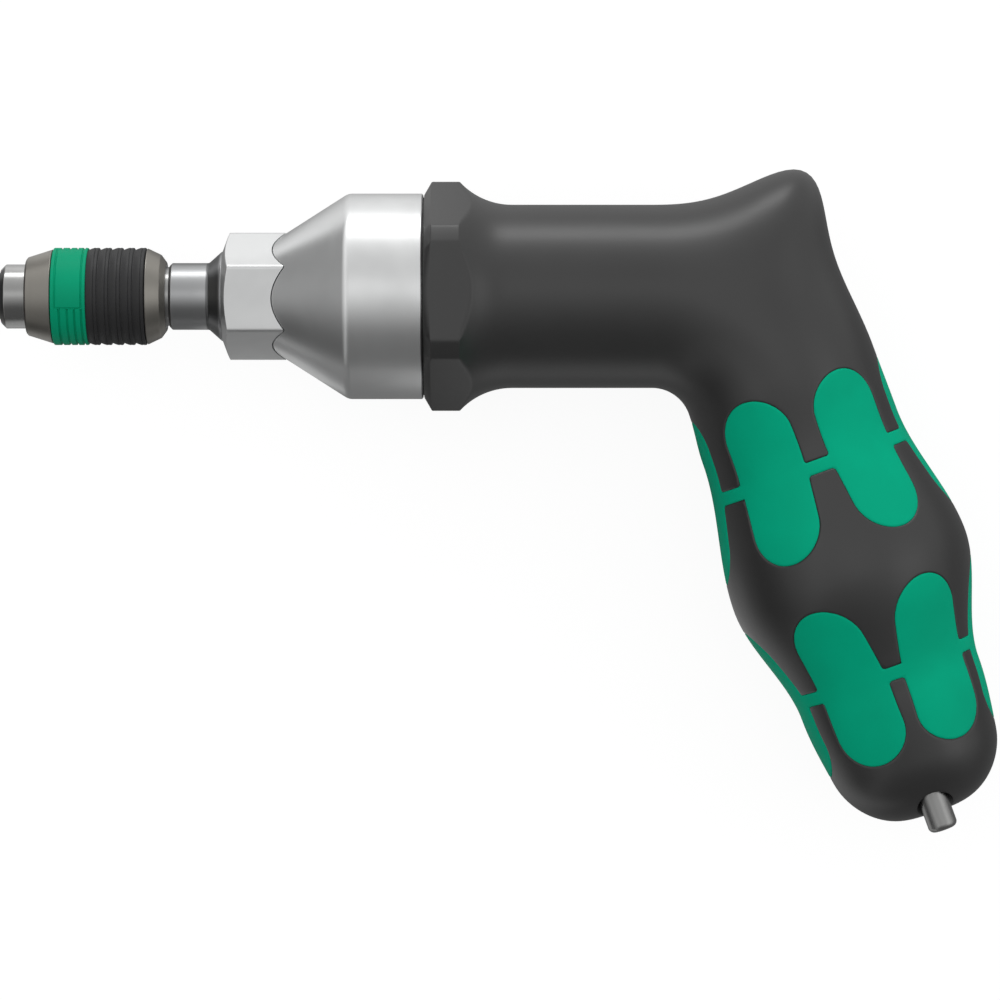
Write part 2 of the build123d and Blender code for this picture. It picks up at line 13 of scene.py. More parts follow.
import bmesh
import bpy
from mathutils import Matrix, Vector
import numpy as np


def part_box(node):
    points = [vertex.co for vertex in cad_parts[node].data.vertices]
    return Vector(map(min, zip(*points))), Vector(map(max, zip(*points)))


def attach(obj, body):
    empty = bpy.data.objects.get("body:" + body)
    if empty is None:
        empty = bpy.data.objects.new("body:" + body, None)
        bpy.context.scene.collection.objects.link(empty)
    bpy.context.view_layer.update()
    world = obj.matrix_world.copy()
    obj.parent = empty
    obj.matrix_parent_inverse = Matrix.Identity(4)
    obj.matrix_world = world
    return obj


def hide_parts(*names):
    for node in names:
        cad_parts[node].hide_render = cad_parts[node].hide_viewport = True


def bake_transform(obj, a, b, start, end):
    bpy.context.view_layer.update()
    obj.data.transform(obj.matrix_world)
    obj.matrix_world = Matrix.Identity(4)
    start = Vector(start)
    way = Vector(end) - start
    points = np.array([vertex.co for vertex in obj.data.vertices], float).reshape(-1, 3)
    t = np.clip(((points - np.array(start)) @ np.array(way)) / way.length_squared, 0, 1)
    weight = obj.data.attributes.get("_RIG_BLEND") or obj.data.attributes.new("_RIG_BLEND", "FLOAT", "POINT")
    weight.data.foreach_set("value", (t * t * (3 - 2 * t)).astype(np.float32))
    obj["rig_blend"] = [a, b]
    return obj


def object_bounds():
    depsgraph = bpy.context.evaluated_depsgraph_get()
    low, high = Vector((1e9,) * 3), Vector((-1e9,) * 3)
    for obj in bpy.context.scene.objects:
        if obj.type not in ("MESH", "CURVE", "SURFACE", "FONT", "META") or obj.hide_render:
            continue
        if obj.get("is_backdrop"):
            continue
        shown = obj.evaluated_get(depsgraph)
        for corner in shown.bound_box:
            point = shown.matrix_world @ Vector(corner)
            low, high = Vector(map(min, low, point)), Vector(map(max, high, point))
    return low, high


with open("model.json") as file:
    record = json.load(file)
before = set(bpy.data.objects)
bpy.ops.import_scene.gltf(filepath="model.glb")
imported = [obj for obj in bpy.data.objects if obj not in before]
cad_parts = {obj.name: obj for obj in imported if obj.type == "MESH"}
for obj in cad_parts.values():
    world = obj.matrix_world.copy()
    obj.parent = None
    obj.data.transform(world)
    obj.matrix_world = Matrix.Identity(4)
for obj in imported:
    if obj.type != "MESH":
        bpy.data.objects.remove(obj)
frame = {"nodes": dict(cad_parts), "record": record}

MM = 0.001
cad_low, cad_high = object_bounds()
for imported in list(bpy.data.materials):
    bpy.data.materials.remove(imported)
print("CAD box in mm:", [round(v / MM, 2) for v in (*cad_low, *cad_high)])

# %% [markdown]
# ## The camera
#
# The photograph looks straight down on the tool, which lies on its side.
# The camera hangs over it and looks along -Z, with the barrel's axis to the right.
# Its distance comes from how much nearer faces seem to grow: about 4200 of the photograph's pixels.
# With that distance, the lens follows from the scale of 0.153 mm for each pixel.

# %% Camera
def add_object(name, data):
    """New object in the scene, at the origin."""
    made = bpy.data.objects.new(name, data)
    bpy.context.scene.collection.objects.link(made)
    return made


pixel = 0.153
picture = 1000
camera_distance = 4200
middle_x, middle_y = 76.35, -31.14
sensor_width = 36.0
camera_data = bpy.data.cameras.new("camera")
camera_data.sensor_width = sensor_width
camera_data.lens = sensor_width * camera_distance / picture
camera_data.clip_start = 50 * MM
camera_data.clip_end = 5000 * MM
camera = add_object("camera", camera_data)
camera.location = (middle_x * MM, middle_y * MM, camera_distance * pixel * MM)
bpy.context.scene.camera = camera
print("lens in mm:", round(camera_data.lens, 1), "height in mm:", round(camera.location.z / MM, 1))

# %% [markdown]
# ## Shader maths as Python
#
# A finish is a small formula: a colour that varies a little, a roughness with fine grain, a bump.
# Written node by node it is long, so a small class wraps a socket.
# Adding or multiplying two of them makes the Math node, and `node` makes any other one.

# %% A socket that takes part in sums
class Value:
    """A shader socket that takes part in Python sums."""

    def __init__(self, nodes, socket):
        self.nodes = nodes
        self.socket = socket

    def _math(self, operation, *inputs):
        return self.nodes.node("ShaderNodeMath", {"operation": operation}, dict(enumerate(inputs)))

    def __add__(self, other):
        return self._math("ADD", self, other)

    def __sub__(self, other):
        return self._math("SUBTRACT", self, other)

    def __rsub__(self, other):
        return self._math("SUBTRACT", other, self)

    def __mul__(self, other):
        return self._math("MULTIPLY", self, other)

    __radd__ = __add__
    __rmul__ = __mul__

    def step(self, dark, bright):
        """Smooth step from 0 at dark to 1 at bright. Either of the two may be the larger number."""
        return self.nodes.node("ShaderNodeMapRange", {"interpolation_type": "SMOOTHSTEP"},
                               {"Value": self, "From Min": dark, "From Max": bright})


# %% Nodes of a material or of the world
class Nodes:
    """A node tree that starts empty, with one method to make any node and a few for the usual ones."""

    def __init__(self, owner):
        owner.use_nodes = True
        self.tree = owner.node_tree
        self.tree.nodes.clear()

    def node(self, kind, settings=None, inputs=None, output=0):
        """Make any node: its settings first, then the values or links of its sockets. Wraps one output."""
        made = self.tree.nodes.new(kind)
        for key, value in (settings or {}).items():
            setattr(made, key, value)
        for key, value in (inputs or {}).items():
            if isinstance(value, Value):
                self.tree.links.new(value.socket, made.inputs[key])
            else:
                made.inputs[key].default_value = value
        return Value(self, made.outputs[output])

    def place(self, *scale):
        """Object coordinates in millimetres, stretched by scale."""
        coordinates = self.node("ShaderNodeTexCoord", output="Object")
        return self.node("ShaderNodeVectorMath", {"operation": "MULTIPLY"},
                         {0: coordinates, 1: tuple(s / MM for s in scale or (1, 1, 1))})

    def noise(self, place, scale, detail=2.0, roughness=0.5):
        """Noise from 0 to 1 with scale features in each millimetre."""
        return self.node("ShaderNodeTexNoise", {},
                         {"Vector": place, "Scale": scale, "Detail": detail, "Roughness": roughness})

    def mix(self, share, first, second):
        """Mix two colours by a share."""
        return self.node("ShaderNodeMix", {"data_type": "RGBA"}, {0: share, 6: first, 7: second}, output=2)

    def bump(self, height, strength, distance):
        """Normal from a height, with the height's full size in millimetres."""
        return self.node("ShaderNodeBump", {}, {"Height": height, "Strength": strength, "Distance": distance * MM})


# %% A finish with its shader at hand
class Finish(Nodes):
    """One material. Constants go on the Principled shader's own sockets, and what varies is linked to it."""

    def __init__(self, name, **constants):
        self.material = bpy.data.materials.new(name)
        super().__init__(self.material)
        self.shader = self.tree.nodes.new("ShaderNodeBsdfPrincipled")
        output = self.tree.nodes.new("ShaderNodeOutputMaterial")
        self.tree.links.new(self.shader.outputs["BSDF"], output.inputs["Surface"])
        for socket, value in constants.items():
            self.shader.inputs[self.title(socket)].default_value = value

    @staticmethod
    def title(socket):
        """Python keyword to socket name: base_color is Base Color."""
        return socket.replace("_", " ").title().replace("Ior", "IOR")

    def link(self, **sockets):
        """Link values to the shader's sockets."""
        for socket, value in sockets.items():
            self.tree.links.new(value.socket, self.shader.inputs[self.title(socket)])


def colour(red, green, blue):
    """Linear colour from an sRGB one of 0 to 255."""
    linear = [c / 255 / 12.92 if c <= 10 else ((c / 255 + 0.055) / 1.055) ** 2.4 for c in (red, green, blue)]
    return (*linear, 1.0)


def grey(level):
    """Linear grey."""
    return (level, level, level, 1.0)


def shaded(base, share):
    """A colour made lighter or darker by a share."""
    return (*[min(1.0, channel * share) for channel in base[:3]], 1.0)


# %% [markdown]
# ## Plastics and rubber
#
# The handle is moulded in two shots: a hard black plastic with a fine spark-eroded grain, and a soft green one.
# Image textures would need unwrapping and would show their pixels close up.
# So the grain is noise in millimetres, which feeds the bump and a little of the gloss.
# Hands polish the handle in broad patches, and a second, much larger noise stands for that.

# %% Moulded finishes
def moulded(name, base, roughness, grain, shine, relief=0.10):
    """Moulded plastic or rubber with eroded grain and slightly uneven gloss."""
    finish = Finish(name, ior=1.5, specular_ior_level=shine)
    cloud = finish.noise(finish.place(), 0.08, 3.0)
    fine = finish.noise(finish.place(), grain, 2.0, 0.6)
    finish.link(
        base_color=finish.mix(cloud.step(0.3, 0.75), base, shaded(base, 1.12)),
        roughness=(fine - 0.5) * 0.10 + (cloud - 0.5) * 0.08 + roughness,
        normal=finish.bump(fine, relief, 0.03),
    )
    return finish.material


black_plastic = moulded("black_plastic", colour(46, 46, 46), 0.38, 3.0, shine=0.6)
green_soft = moulded("green_soft", colour(0, 174, 134), 0.6, 3.4, relief=0.16, shine=0.06)
green_plastic = moulded("green_plastic", colour(0, 158, 116), 0.5, 2.6, shine=0.1)
black_rubber = moulded("black_rubber", colour(40, 40, 41), 0.55, 4.0, relief=0.2, shine=0.4)
print("moulded finishes:", [m.name for m in (black_plastic, green_soft, green_plastic, black_rubber)])

# %% [markdown]
# ## Metals
#
# The head, the shaft and the nose are turned and satin chromed, so their fine lines run round the axis.
# The shader's anisotropy would smear the highlight as such lines do, but would show no single line close up.
# Noise that is stretched thin along the axis gives the lines themselves, at any distance.
# It feeds the bump, which breaks the highlight as turning marks do, and the roughness.
# Ground and drawn metal inside the tool has an even grain instead.

# %% Turned and ground metal
def turned_metal(name, base, roughness, lines=9.0, relief=0.12, patina=0.08, painted_shade_span=None):
    """Turned metal with lines round the barrel's axis. A span of X in millimetres, if given, is painted darker:
    painted shade for a surface that mirrors the dark side of the tent.
    """
    finish = Finish(name, metallic=1.0)
    line = finish.noise(finish.place(1.0, 0.012, 0.012), lines, 3.0, 0.65)
    cloud = finish.noise(finish.place(), 0.12, 2.0)
    tint = finish.mix(cloud.step(0.35, 0.7), base, shaded(base, 1 - patina))
    # Painted shade: the colour is darkened over a span of X where the metal mirrors the dark side of the tent.
    if painted_shade_span:
        x = finish.node("ShaderNodeSeparateXYZ", {}, {0: finish.place()})
        painted_shade_mask = x.step(painted_shade_span[0], painted_shade_span[0] + 0.2) * (1 - x.step(painted_shade_span[1], painted_shade_span[1] + 0.4))
        tint = finish.mix(painted_shade_mask, tint, shaded(base, 0.4))
    finish.link(
        base_color=tint,
        roughness=(line - 0.5) * 0.12 + (cloud - 0.5) * 0.06 + roughness,
        normal=finish.bump(line, relief, 0.01),
    )
    return finish.material


def ground_metal(name, base, roughness):
    """Ground, drawn or plated metal with an even fine grain."""
    finish = Finish(name, metallic=1.0)
    grain = finish.noise(finish.place(), 5.0, 3.0, 0.6)
    cloud = finish.noise(finish.place(), 0.15, 2.0)
    finish.link(
        base_color=finish.mix(cloud.step(0.3, 0.7), base, shaded(base, 0.86)),
        roughness=(grain - 0.5) * 0.12 + roughness,
        normal=finish.bump(grain, 0.12, 0.01),
    )
    return finish.material


satin_head = turned_metal("satin_head", colour(220, 221, 221), 0.34)
# The darker span over the shaft's flare, 31.5 to 33.4 mm, is painted shade for the dark side of the tent that the
# flare mirrors.
satin_shaft = turned_metal("satin_shaft", colour(170, 171, 172), 0.32, painted_shade_span=(31.5, 33.4))
bright_steel = turned_metal("bright_steel", colour(162, 162, 161), 0.24, relief=0.03)
sleeve_metal = turned_metal("sleeve_metal", colour(142, 139, 133), 0.4)
machined_steel = turned_metal("machined_steel", colour(196, 196, 198), 0.3)
hardened_steel = ground_metal("hardened_steel", colour(214, 214, 216), 0.18)
spring_steel = ground_metal("spring_steel", colour(160, 160, 164), 0.3)
key_steel = ground_metal("key_steel", colour(156, 156, 155), 0.36)
bronze = ground_metal("bronze", colour(196, 158, 104), 0.42)
print("turned metals:", [m.name for m in (satin_head, satin_shaft, bright_steel, sleeve_metal, machined_steel)])
print("ground metals:", [m.name for m in (hardened_steel, spring_steel, key_steel, bronze)])

# %% Dress every CAD node in its slot's finish
finishes = {material.name: material for material in bpy.data.materials}
slots = {row["node"]: row["material_slot"] for row in frame["record"]["subparts"]}
for node, obj in frame["nodes"].items():
    obj.data.materials.clear()
    obj.data.materials.append(finishes[slots[node]])
print("dressed nodes:", len(slots), "finishes:", len(finishes))

# %% [markdown]
# ## Meshes from a path and a rule
#
# Nearly every piece of this tool is turned on a lathe or moulded round an axis.
# Blender could do that with a Spin or a Screw modifier, but a flat on a hexagon needs a radius that changes
# with the angle too. So one helper walks a path of (station, radius) points round the barrel's axis,
# and a rule may change each point's radius for each angle.
# Angles count from +Y towards +Z.

# %% Round a path's corners
def rounded(corners, steps=4, hold=0.04):
    """Closed path of (x, r) points from (x, r, rounding) corners, with an arc at each rounded corner.
    A point just outside each arc holds the flat beside it flat."""
    path = []
    for number, (x, r, size) in enumerate(corners):
        here = Vector((x, r))
        before = Vector(corners[number - 1][:2])
        after = Vector(corners[(number + 1) % len(corners)][:2])
        if size <= 0:
            path.append((x, r))
            continue
        towards, away = (before - here).normalized(), (after - here).normalized()
        half = towards.angle(away) / 2
        reach = min(size / tan(half), 0.45 * (before - here).length, 0.45 * (after - here).length)
        radius = reach * tan(half)
        middle = here + (towards + away).normalized() * (radius / sin(half))
        start, end = here + towards * reach, here + away * reach
        path.append(tuple(start + towards * min(hold, reach / 4)))
        for step in range(steps + 1):
            spoke = (start - middle).lerp(end - middle, step / steps).normalized()
            path.append(tuple(middle + spoke * radius))
        path.append(tuple(end + away * min(hold, reach / 4)))
    return path


# %% Mesh from rings of points
def mesh_of_rings(name, rings, closed=False):
    """Mesh over rings of points in millimetres. A ring of one point is a pole."""
    points, places = [], []
    for ring in rings:
        places.append([len(points) + number for number in range(len(ring))])
        points.extend(tuple(v * MM for v in point) for point in ring)
    sides = max(len(ring) for ring in rings)
    faces = []
    for near, far in zip(places, places[1:] + places[:1] if closed else places[1:]):
        for turn in range(sides):
            after = (turn + 1) % sides
            corners = [ring[spot % len(ring)] for ring, spot in
                       ((near, turn), (near, after), (far, after), (far, turn))]
            face = [corner for spot, corner in enumerate(corners) if corner not in corners[:spot]]
            if len(face) > 2:
                faces.append(face)
    mesh = bpy.data.meshes.new(name)
    mesh.from_pydata(points, [], faces)
    made = bmesh.new()
    made.from_mesh(mesh)
    bmesh.ops.recalc_face_normals(made, faces=made.faces)
    made.to_mesh(mesh)
    made.free()
    return add_object(name, mesh)


def even_angles(count):
    """Angles spread evenly round the axis."""
    return [2 * pi * number / count for number in range(count)]


def ring_of(angles, point):
    """Ring of points round the barrel's axis. point(angle) gives the station and the radius at an angle."""
    return [(x, r * cos(angle), r * sin(angle)) for angle in angles for x, r in [point(angle)]]


def turned(name, path, angles, rule=None, closed=True):
    """Mesh that carries a path round the barrel's axis. rule(x, r, angle) may change the radius."""
    rings = [ring_of(angles, lambda angle: (x, rule(x, r, angle) if rule else r)) for x, r in path]
    return mesh_of_rings(name, rings, closed)


# %% Finish a piece
def finish_piece(piece, body, material, stands_for, sharp=None, until=None):
    """Shade a mesh smooth, keep its hard edges, give it its finish and hang it on its body.
    until=(other body, start, end) hands it over to another body between two stations in millimetres."""
    piece.data.shade_smooth()
    if sharp:
        piece.data.set_sharp_from_angle(angle=radians(sharp))
    piece.data.materials.clear()
    piece.data.materials.append(material)
    if until:
        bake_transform(piece, body, until[0], start=(until[1] * MM, 0, 0), end=(until[2] * MM, 0, 0))
    else:
        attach(piece, body)
    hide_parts(*stands_for)
    print(f"{piece.name}: {len(piece.data.polygons)} faces on {body}")


# %% [markdown]
# ## The nose and the chuck's rings
#
# The nose takes a hexagonal bit, and a sleeve round it slides forward to let the bit go.
# These are lathe work: straight lines with small rounded edges that catch a thin line of light.
# The CAD pieces have sharp edges, and a Bevel modifier on their loose triangles would bevel every one of them.
# So each piece gets the same outline again with its corners rounded.
# The path runs round the whole wall, outside and inside, so every mesh is closed.

# %% Nose with its hexagonal socket
socket_flat, socket_depth, socket_lead = 3.225, 17.0, 0.3
tip_share = 1.13
nose_radius, nose_face, stem_radius, passage_radius = 4.9, 3.99, 3.6, 1.7
nose_rear, stem_rear = 25.9, 30.9


def hexagon_offset(angle, flat_at=0.0):
    """Angle from the middle of the nearest flat of a hexagon that has a flat at flat_at."""
    return (angle - flat_at + pi / 6) % (pi / 3) - pi / 6


def socket_rule(x, r, angle):
    """Points of the socket's wall and of its lead-in lie on a hexagon, with a flat towards +Y."""
    if x > socket_depth or not socket_flat <= r <= socket_flat + socket_lead:
        return r
    return min(socket_flat / cos(hexagon_offset(angle)), socket_flat * tip_share) + r - socket_flat


nose_path = [(socket_depth, passage_radius), (socket_depth, socket_flat), (0.34, socket_flat),
             (0.0, socket_flat + socket_lead)]
nose_path += rounded([(0.0, nose_face, 0.12), (0.9, nose_radius, 0.25), (25.4, nose_radius, 0.05), (25.4, 4.5, 0),
                      (nose_rear, 4.5, 0), (nose_rear, stem_radius, 0), (stem_rear, stem_radius, 0),
                      (stem_rear, passage_radius, 0)])
finish_piece(turned("nose", nose_path, even_angles(144), socket_rule), "head", bright_steel, ["chuck_body"], 40)

# %% Front and rear rings of the release sleeve
sleeve_bore, tube_radius, chamber_radius, tube_rear = 4.95, 6.2, 5.8, 23.9
front_ring = rounded([(4.05, sleeve_bore, 0), (4.05, 5.7, 0.08), (4.3, 6.0, 0.15), (8.1, 7.2, 0.12),
                      (8.1, tube_radius, 0), (tube_rear, tube_radius, 0), (tube_rear, sleeve_bore, 0),
                      (16.9, sleeve_bore, 0), (16.9, chamber_radius, 0), (8.84, chamber_radius, 0),
                      (5.44, sleeve_bore, 0)])
finish_piece(turned("release_sleeve_front", front_ring, even_angles(144)),
             "release_sleeve", sleeve_metal, ["release_sleeve"], 40)
rear_ring = rounded([(22.5, tube_radius, 0), (22.5, 7.3, 0.05), (22.62, 7.3, 0.1), (24.6, 6.35, 0.35),
                     (25.4, 5.25, 0.12), (25.4, sleeve_bore, 0), (tube_rear, sleeve_bore, 0),
                     (tube_rear, tube_radius, 0)])
finish_piece(turned("release_sleeve_rear", rear_ring, even_angles(144)),
             "release_sleeve", sleeve_metal, ["rear_ring"], 40)

# %% [markdown]
# ## The green band
#
# A green ring turns freely on the chuck, so that one hand can guide the tool while the other turns it.
# It has a smooth panel on each side, and four fine grooves round the rest.
# A bump map would not show in the outline or in the exported mesh, so panel and grooves are geometry.
# The rule takes a groove's depth from the radius wherever the angle is outside a panel.

# %% Band with panels and grooves
band_front, band_rear, band_radius = 8.2, 13.5, 7.43
band_bore, band_rim = 6.75, 0.14
groove_places, groove_half, groove_depth = [9.5, 10.75, 11.85, 12.88], 0.17, 0.24
line_offset, line_half, line_depth = 0.1, 0.14, 0.2
panel_middle, panel_half = radians(62), radians(44)
panel_low, panel_high = 8.97, 12.76
panel_step = 0.011


def notch(distance, half, depth):
    """Depth of a round-bottomed groove at a distance from its middle."""
    return depth * sqrt(max(0.0, 1 - (distance / half) ** 2))


def band_rule(x, r, angle):
    """Sink the grooves outside the panels, and a fine outline round each panel."""
    if r <= band_bore:
        return r
    offset = abs((angle - panel_middle + pi / 2) % pi - pi / 2)
    sideways = (offset - panel_half) * band_radius
    along = max(panel_low - x, x - panel_high)
    sink = notch(max(sideways, along) - line_offset, line_half, line_depth)
    if sideways > line_offset + line_half + 0.01:
        sink = max([sink] + [notch(x - place, groove_half, groove_depth) for place in groove_places])
    return r - sink


band_steps = 76
band_top = [(band_front + band_rim + (band_rear - band_front - 2 * band_rim) * step / band_steps, band_radius)
            for step in range(band_steps + 1)]
band_path = [(band_front, band_bore), (band_front, band_radius - 0.16), (band_front + 0.04, band_radius - 0.06)]
band_path += band_top
band_path += [(band_rear - 0.04, band_radius - 0.06), (band_rear, band_radius - 0.16), (band_rear, band_bore)]
panel_edges = [panel_middle + side * panel_half + turn + nudge * panel_step for side in (-1, 1) for turn in (0, pi)
               for nudge in (-1, -0.5, 0.5, 1, 1.5, 2, 2.5, 3, 4)]
band_angles = sorted(even_angles(150) + [edge % (2 * pi) for edge in panel_edges])
finish_piece(turned("band", band_path, band_angles, band_rule), "spin_sleeve", green_plastic, ["sleeve_band"], 45)

# %% [markdown]
# ## The rubber ribs
#
# Behind the band, the sleeve has a rubber grip: five ribs with slanted fronts, each with a fine line in it.
# One rib is enough to model. Geometry Nodes repeat it along a Mesh Line and weld the copies together.
# Changing the count or the pitch then needs no new modelling.
# At the end the result becomes a plain mesh, and its two open ends get a wall.

# %% Node tree: repeat along the barrel
def repeat_tree(name):
    """Geometry Nodes tree that repeats a piece along X. Its inputs are Count, Pitch and Material."""
    tree = bpy.data.node_groups.new(name, "GeometryNodeTree")
    for title, kind in (("Geometry", "NodeSocketGeometry"), ("Count", "NodeSocketInt"),
                        ("Pitch", "NodeSocketFloat"), ("Material", "NodeSocketMaterial")):
        tree.interface.new_socket(title, in_out="INPUT", socket_type=kind)
    tree.interface.new_socket("Geometry", in_out="OUTPUT", socket_type="NodeSocketGeometry")
    start, end = tree.nodes.new("NodeGroupInput"), tree.nodes.new("NodeGroupOutput")
    step = tree.nodes.new("ShaderNodeCombineXYZ")
    line = tree.nodes.new("GeometryNodeMeshLine")
    copies = tree.nodes.new("GeometryNodeInstanceOnPoints")
    real = tree.nodes.new("GeometryNodeRealizeInstances")
    weld = tree.nodes.new("GeometryNodeMergeByDistance")
    weld.inputs["Distance"].default_value = 0.01 * MM
    paint = tree.nodes.new("GeometryNodeSetMaterial")
    for source, target in ((start.outputs["Pitch"], step.inputs["X"]), (step.outputs[0], line.inputs["Offset"]),
                           (start.outputs["Count"], line.inputs["Count"]), (line.outputs[0], copies.inputs["Points"]),
                           (start.outputs["Geometry"], copies.inputs["Instance"]),
                           (copies.outputs[0], real.inputs["Geometry"]), (real.outputs[0], weld.inputs["Geometry"]),
                           (weld.outputs[0], paint.inputs["Geometry"]),
                           (start.outputs["Material"], paint.inputs["Material"]),
                           (paint.outputs[0], end.inputs["Geometry"])):
        tree.links.new(source, target)
    return tree


def apply_tree(piece, tree, **values):
    """Run a tree on a piece with named inputs, and keep the result as its plain mesh."""
    modifier = piece.modifiers.new(tree.name, "NODES")
    modifier.node_group = tree
    sockets = {item.name: item.identifier for item in tree.interface.items_tree if item.in_out == "INPUT"}
    for title, value in values.items():
        modifier[sockets[title]] = value
    bpy.context.view_layer.update()
    result = bpy.data.meshes.new_from_object(piece.evaluated_get(bpy.context.evaluated_depsgraph_get()))
    piece.modifiers.remove(modifier)
    piece.data = result


# %% One rib, repeated
def points_of(geometry):
    """The points among what a bmesh operator made."""
    return [item for item in geometry if isinstance(item, bmesh.types.BMVert)]


ribs_front, ribs_rear, rib_count = 13.5, 22.4, 5
rib_pitch = (ribs_rear - ribs_front) / rib_count
rib_low, rib_high, rib_wall = 7.13, 7.43, 6.75
rib_shape = [(0.0, rib_low), (0.06, rib_low + 0.02), (0.25, 7.29), (0.42, 7.39), (0.50, rib_high), (0.60, rib_high),
             (0.63, 7.42), (0.65, 7.34), (0.69, 7.34), (0.71, 7.42), (0.74, rib_high), (0.88, rib_high), (0.92, 7.40),
             (0.94, 7.35), (0.97, 7.17), (1.0, rib_low)]
rib = turned("ribs", [(ribs_front + share * rib_pitch, r) for share, r in rib_shape], even_angles(120), closed=False)
apply_tree(rib, repeat_tree("repeat along the barrel"), Count=rib_count, Pitch=rib_pitch * MM, Material=black_rubber)
made = bmesh.new()
made.from_mesh(rib.data)
rims = [edge for edge in made.edges if edge.is_boundary]
walls = bmesh.ops.extrude_edge_only(made, edges=rims)["geom"]
for vert in points_of(walls):
    share = rib_wall * MM / hypot(vert.co.y, vert.co.z)
    vert.co.y, vert.co.z = vert.co.y * share, vert.co.z * share
bmesh.ops.bridge_loops(made, edges=[edge for edge in made.edges if edge.is_boundary])
bmesh.ops.recalc_face_normals(made, faces=made.faces)
made.to_mesh(rib.data)
made.free()
finish_piece(rib, "spin_sleeve", black_rubber, ["sleeve_ribs"], 50)

# %% [markdown]
# ## The shaft and the metal head
#
# The shaft's neck flares out to the head, and the head starts as a spanner hexagon that runs into a cone.
# A Boolean would join a prism and a cone, but it leaves long thin faces that shade badly.
# Here the rings of the mesh follow the curve where cone and hexagon meet, so its edge stays crisp.
# A fine undercut runs along that curve, and a soft minimum rounds the hexagon's front as polishing does.

# %% Soft minimum
def soft_min(first, second, width):
    """Smaller of two numbers, with the change between them rounded over a width."""
    share = max(width - abs(first - second), 0.0) / width
    return min(first, second) - share * share * width / 4


def spread(start, end, count):
    """Count of numbers spread evenly from start, without end."""
    return [start + (end - start) * number / count for number in range(count)]


def sides(first, offsets):
    """Angles round a hexagon from a flat's middle and offsets from it, in degrees."""
    turns = sorted({round((first + 60 * side + sign * offset) % 360, 4)
                    for side in range(6) for sign in (-1, 1) for offset in offsets})
    return [radians(turn) for turn in turns]


# %% Shaft with its flare
neck_radius, flare_radius, shaft_radius, head_front, shaft_rear = 5.1, 6.9, 4.5, 34.0, 84.0
shaft_path = rounded([(nose_rear, stem_radius, 0), (nose_rear, 4.7, 0.05), (26.3, neck_radius, 0.2),
                      (31.9, neck_radius, 0.6), (33.75, 6.75, 0.25), (head_front, flare_radius, 0.05),
                      (head_front, shaft_radius, 0), (shaft_rear, shaft_radius, 0), (shaft_rear, passage_radius, 0),
                      (stem_rear, passage_radius, 0), (stem_rear, stem_radius, 0)])
finish_piece(turned("shaft", shaft_path, even_angles(144)), "head", satin_shaft, ["drive_shaft"], 40)

# %% Head
hexagon_flat, hexagon_tip, hexagon_turn = 8.5, 9.72, 95.0
cone_front, shoulder, head_rear, head_radius = 41.9, 53.2, 64.62, 15.7
cone_slope = tan(radians(32.5))
edge_slope = 2.915 / 1.1
tip_softness, edge_softness = 0.08, 0.14
cup_radius, cup_floor, ring_groove, ring_front, ring_rear = 13.4, 52.43, 13.9, 62.33, 63.33
undercut = ((-0.26, 0.0), (-0.23, 0.0), (-0.21, 0.42), (-0.01, 0.0), (0.0, 0.0))
edge_end, flat_end, level_from, path_from = 35.3, 41.3, 44.5, 46.02
head_angles = sides(hexagon_turn, (0, 3, 6, 9, 12, 15, 18, 21, 24, 26, 27.5, 28.6, 29.3, 30))


def prism(angle):
    """Radius of the hexagon with its turned corners at an angle."""
    return soft_min(hexagon_flat / cos(hexagon_offset(angle, radians(hexagon_turn))), hexagon_tip, tip_softness)


def front_edge(x, angle):
    """Point of the hexagon at a station, with its front edge turned down to the flare."""
    return x, soft_min(prism(angle), flare_radius + (x - head_front) * edge_slope, edge_softness)


def cone(x):
    """Radius of the cone at a station."""
    return hexagon_flat + (x - cone_front) * cone_slope


def meeting(angle):
    """Station where the cone meets the hexagon at an angle."""
    return cone_front + (prism(angle) - hexagon_flat) / cone_slope


def cone_point(angle, share):
    """Point of the cone, from the meeting curve at share 0 to a level ring at share 1."""
    x = meeting(angle) * (1 - share) + level_from * share
    return x, cone(x)


head_rings = [ring_of(head_angles, lambda angle: front_edge(x, angle))
              for x in spread(head_front, edge_end, 18) + spread(edge_end, flat_end, 4) + [flat_end]]
for shift, drop in undercut:
    head_rings.append(ring_of(head_angles, lambda angle: (meeting(angle) + shift, prism(angle) - drop)))
for share in (0.02, 0.25, 0.5, 0.75, 1.0):
    head_rings.append(ring_of(head_angles, lambda angle: cone_point(angle, share)))
head_path = [(path_from, cone(path_from), 0), (shoulder, head_radius, 2.2), (head_rear - 0.2, head_radius, 0.06),
             (head_rear, 15.5, 0.06), (head_rear, cup_radius, 0.1), (ring_rear, cup_radius, 0),
             (ring_rear, ring_groove, 0), (ring_front, ring_groove, 0), (ring_front, cup_radius, 0),
             (cup_floor, cup_radius, 0), (cup_floor, shaft_radius, 0), (head_front, shaft_radius, 0)]
for x, r in rounded(head_path, 12):
    head_rings.append(ring_of(head_angles, lambda angle: (x, r)))
finish_piece(mesh_of_rings("head_shell", head_rings, closed=True), "head", satin_head, ["clutch_head"], 60)

# %% [markdown]
# ## Springs
#
# A small spring pushes the release sleeve back, and a strong one sets the torque that the clutch holds.
# Both are hidden, but they shorten when the tool works, and a stiff copy would cut through its neighbours.
# Shape keys with drivers would not reach the exported model, so each spring follows two bodies:
# its start rides on one, its end on the other, and the turns between share the motion.
# The strong spring is pushed from both ends, so it is made in two halves that meet in the middle.

# %% Coils
steps_a_turn, sides_of_wire = 40, 10


